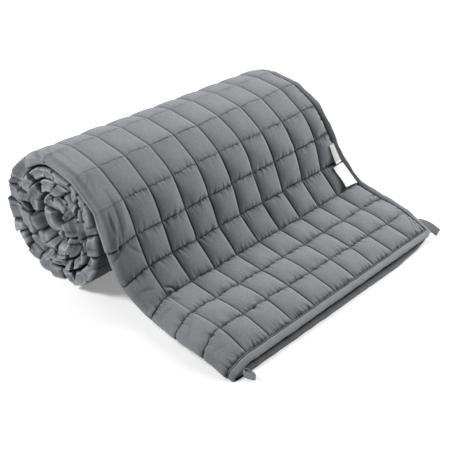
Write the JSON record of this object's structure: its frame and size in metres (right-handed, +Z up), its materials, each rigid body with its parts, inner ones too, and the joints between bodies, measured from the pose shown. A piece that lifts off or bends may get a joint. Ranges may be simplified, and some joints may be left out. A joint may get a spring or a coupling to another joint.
{
  "type": "weighted blanket",
  "caption": "Quilted weighted blanket folded in half lengthwise and rolled up, its free end lying out flat, with bound edges, tie loops and blank sewn labels",
  "frame": {"origin": "middle of the footprint, on the surface that the roll rests on", "axes": "+Z up; Y along the roll, the fold at -Y and the bound side edges at +Y; the free end points to +X"},
  "size_m": [0.5672, 0.6251, 0.2314],
  "materials": {
    "quilted_cloth": "matt mid-grey woven microfibre, quilted in squares",
    "binding_cloth": "matt mid-grey woven strip, topstitched",
    "loop_tape": "matt dark grey woven tape",
    "white_satin": "soft sheen white satin tape, blank",
    "grey_satin": "soft sheen pale grey satin tape, blank"
  },
  "bodies": {
    "root": {"blanket": "quilted_cloth", "edge_binding": "binding_cloth", "corner_loop": "loop_tape", "fold_loop": "loop_tape", "wide_label": "white_satin", "narrow_label": "grey_satin"}
  },
  "joints": []
}
